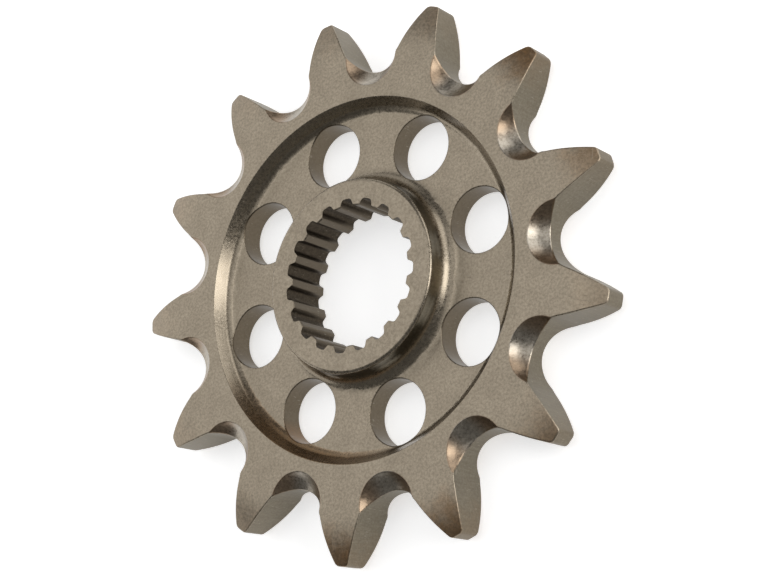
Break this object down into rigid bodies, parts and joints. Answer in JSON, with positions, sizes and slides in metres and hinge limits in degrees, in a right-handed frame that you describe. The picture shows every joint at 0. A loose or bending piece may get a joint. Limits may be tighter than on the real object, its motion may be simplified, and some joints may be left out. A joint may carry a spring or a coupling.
{
  "type": "chain sprocket",
  "caption": "One-piece steel front sprocket for a roller chain, with a splined bore, a raised hub and a pierced, recessed web.",
  "frame": {"origin": "centre of the splined bore, in the middle plane of the tooth ring, where the chain runs", "axes": "+Z along the bore axis, towards the hub boss; +X through the middle of a tooth, a lightening hole and a spline groove"},
  "size_m": [0.0723, 0.0728, 0.0075],
  "materials": {
    "steel": "fine bead-blasted and hardened steel, satin, warm grey"
  },
  "bodies": {
    "root": {"sprocket": "steel"}
  },
  "joints": []
}
